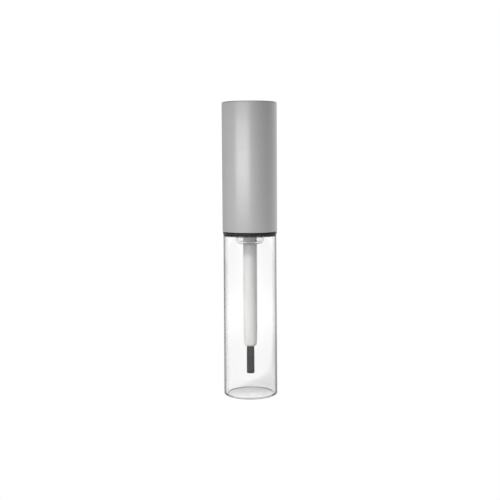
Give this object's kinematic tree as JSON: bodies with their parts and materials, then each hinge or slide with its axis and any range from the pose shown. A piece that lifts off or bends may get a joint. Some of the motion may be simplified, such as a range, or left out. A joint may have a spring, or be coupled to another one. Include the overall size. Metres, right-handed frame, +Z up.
{
  "type": "lip gloss tube",
  "caption": "Clear cylindrical tube with a tall satin silver screw cap, a dark collar ring, a wiper and a rod that ends in a small brush.",
  "frame": {"origin": "centre of the bottle's flat base, on the tube's axis", "axes": "+Z up along the tube's axis towards the top of the cap; +X and +Y are equivalent because the tube is round"},
  "size_m": [0.018, 0.018, 0.0966],
  "materials": {
    "clear_plastic": "clear gloss",
    "wiper_plastic": "translucent satin",
    "black_gloss": "gloss",
    "silver_metal": "satin",
    "white_plastic": "satin",
    "rod_plastic": "satin",
    "washer_foam": "matt",
    "brush_fibre": "matt",
    "anchor_wire": "bright"
  },
  "bodies": {
    "bottle_body": {"bottle": "clear_plastic", "wiper": "wiper_plastic", "collar_ring": "black_gloss"},
    "washer_body": {"seal_washer": "washer_foam"},
    "wand_body": {"cap_shell": "silver_metal", "inner_cap": "white_plastic", "applicator_rod": "rod_plastic", "brush_tuft": "brush_fibre", "brush_anchor": "anchor_wire"}
  },
  "joints": [
    {"name": "wand_lift", "type": "slide", "parent": "bottle_body", "child": "washer_body", "axis": [0, 0, 1], "range_m": [0, 0.062]},
    {"name": "cap_unscrew", "type": "hinge", "parent": "washer_body", "child": "wand_body", "pos_m": [0, 0, 0.0545], "axis": [0, 0, 1], "range_deg": [0, 450]}
  ]
}
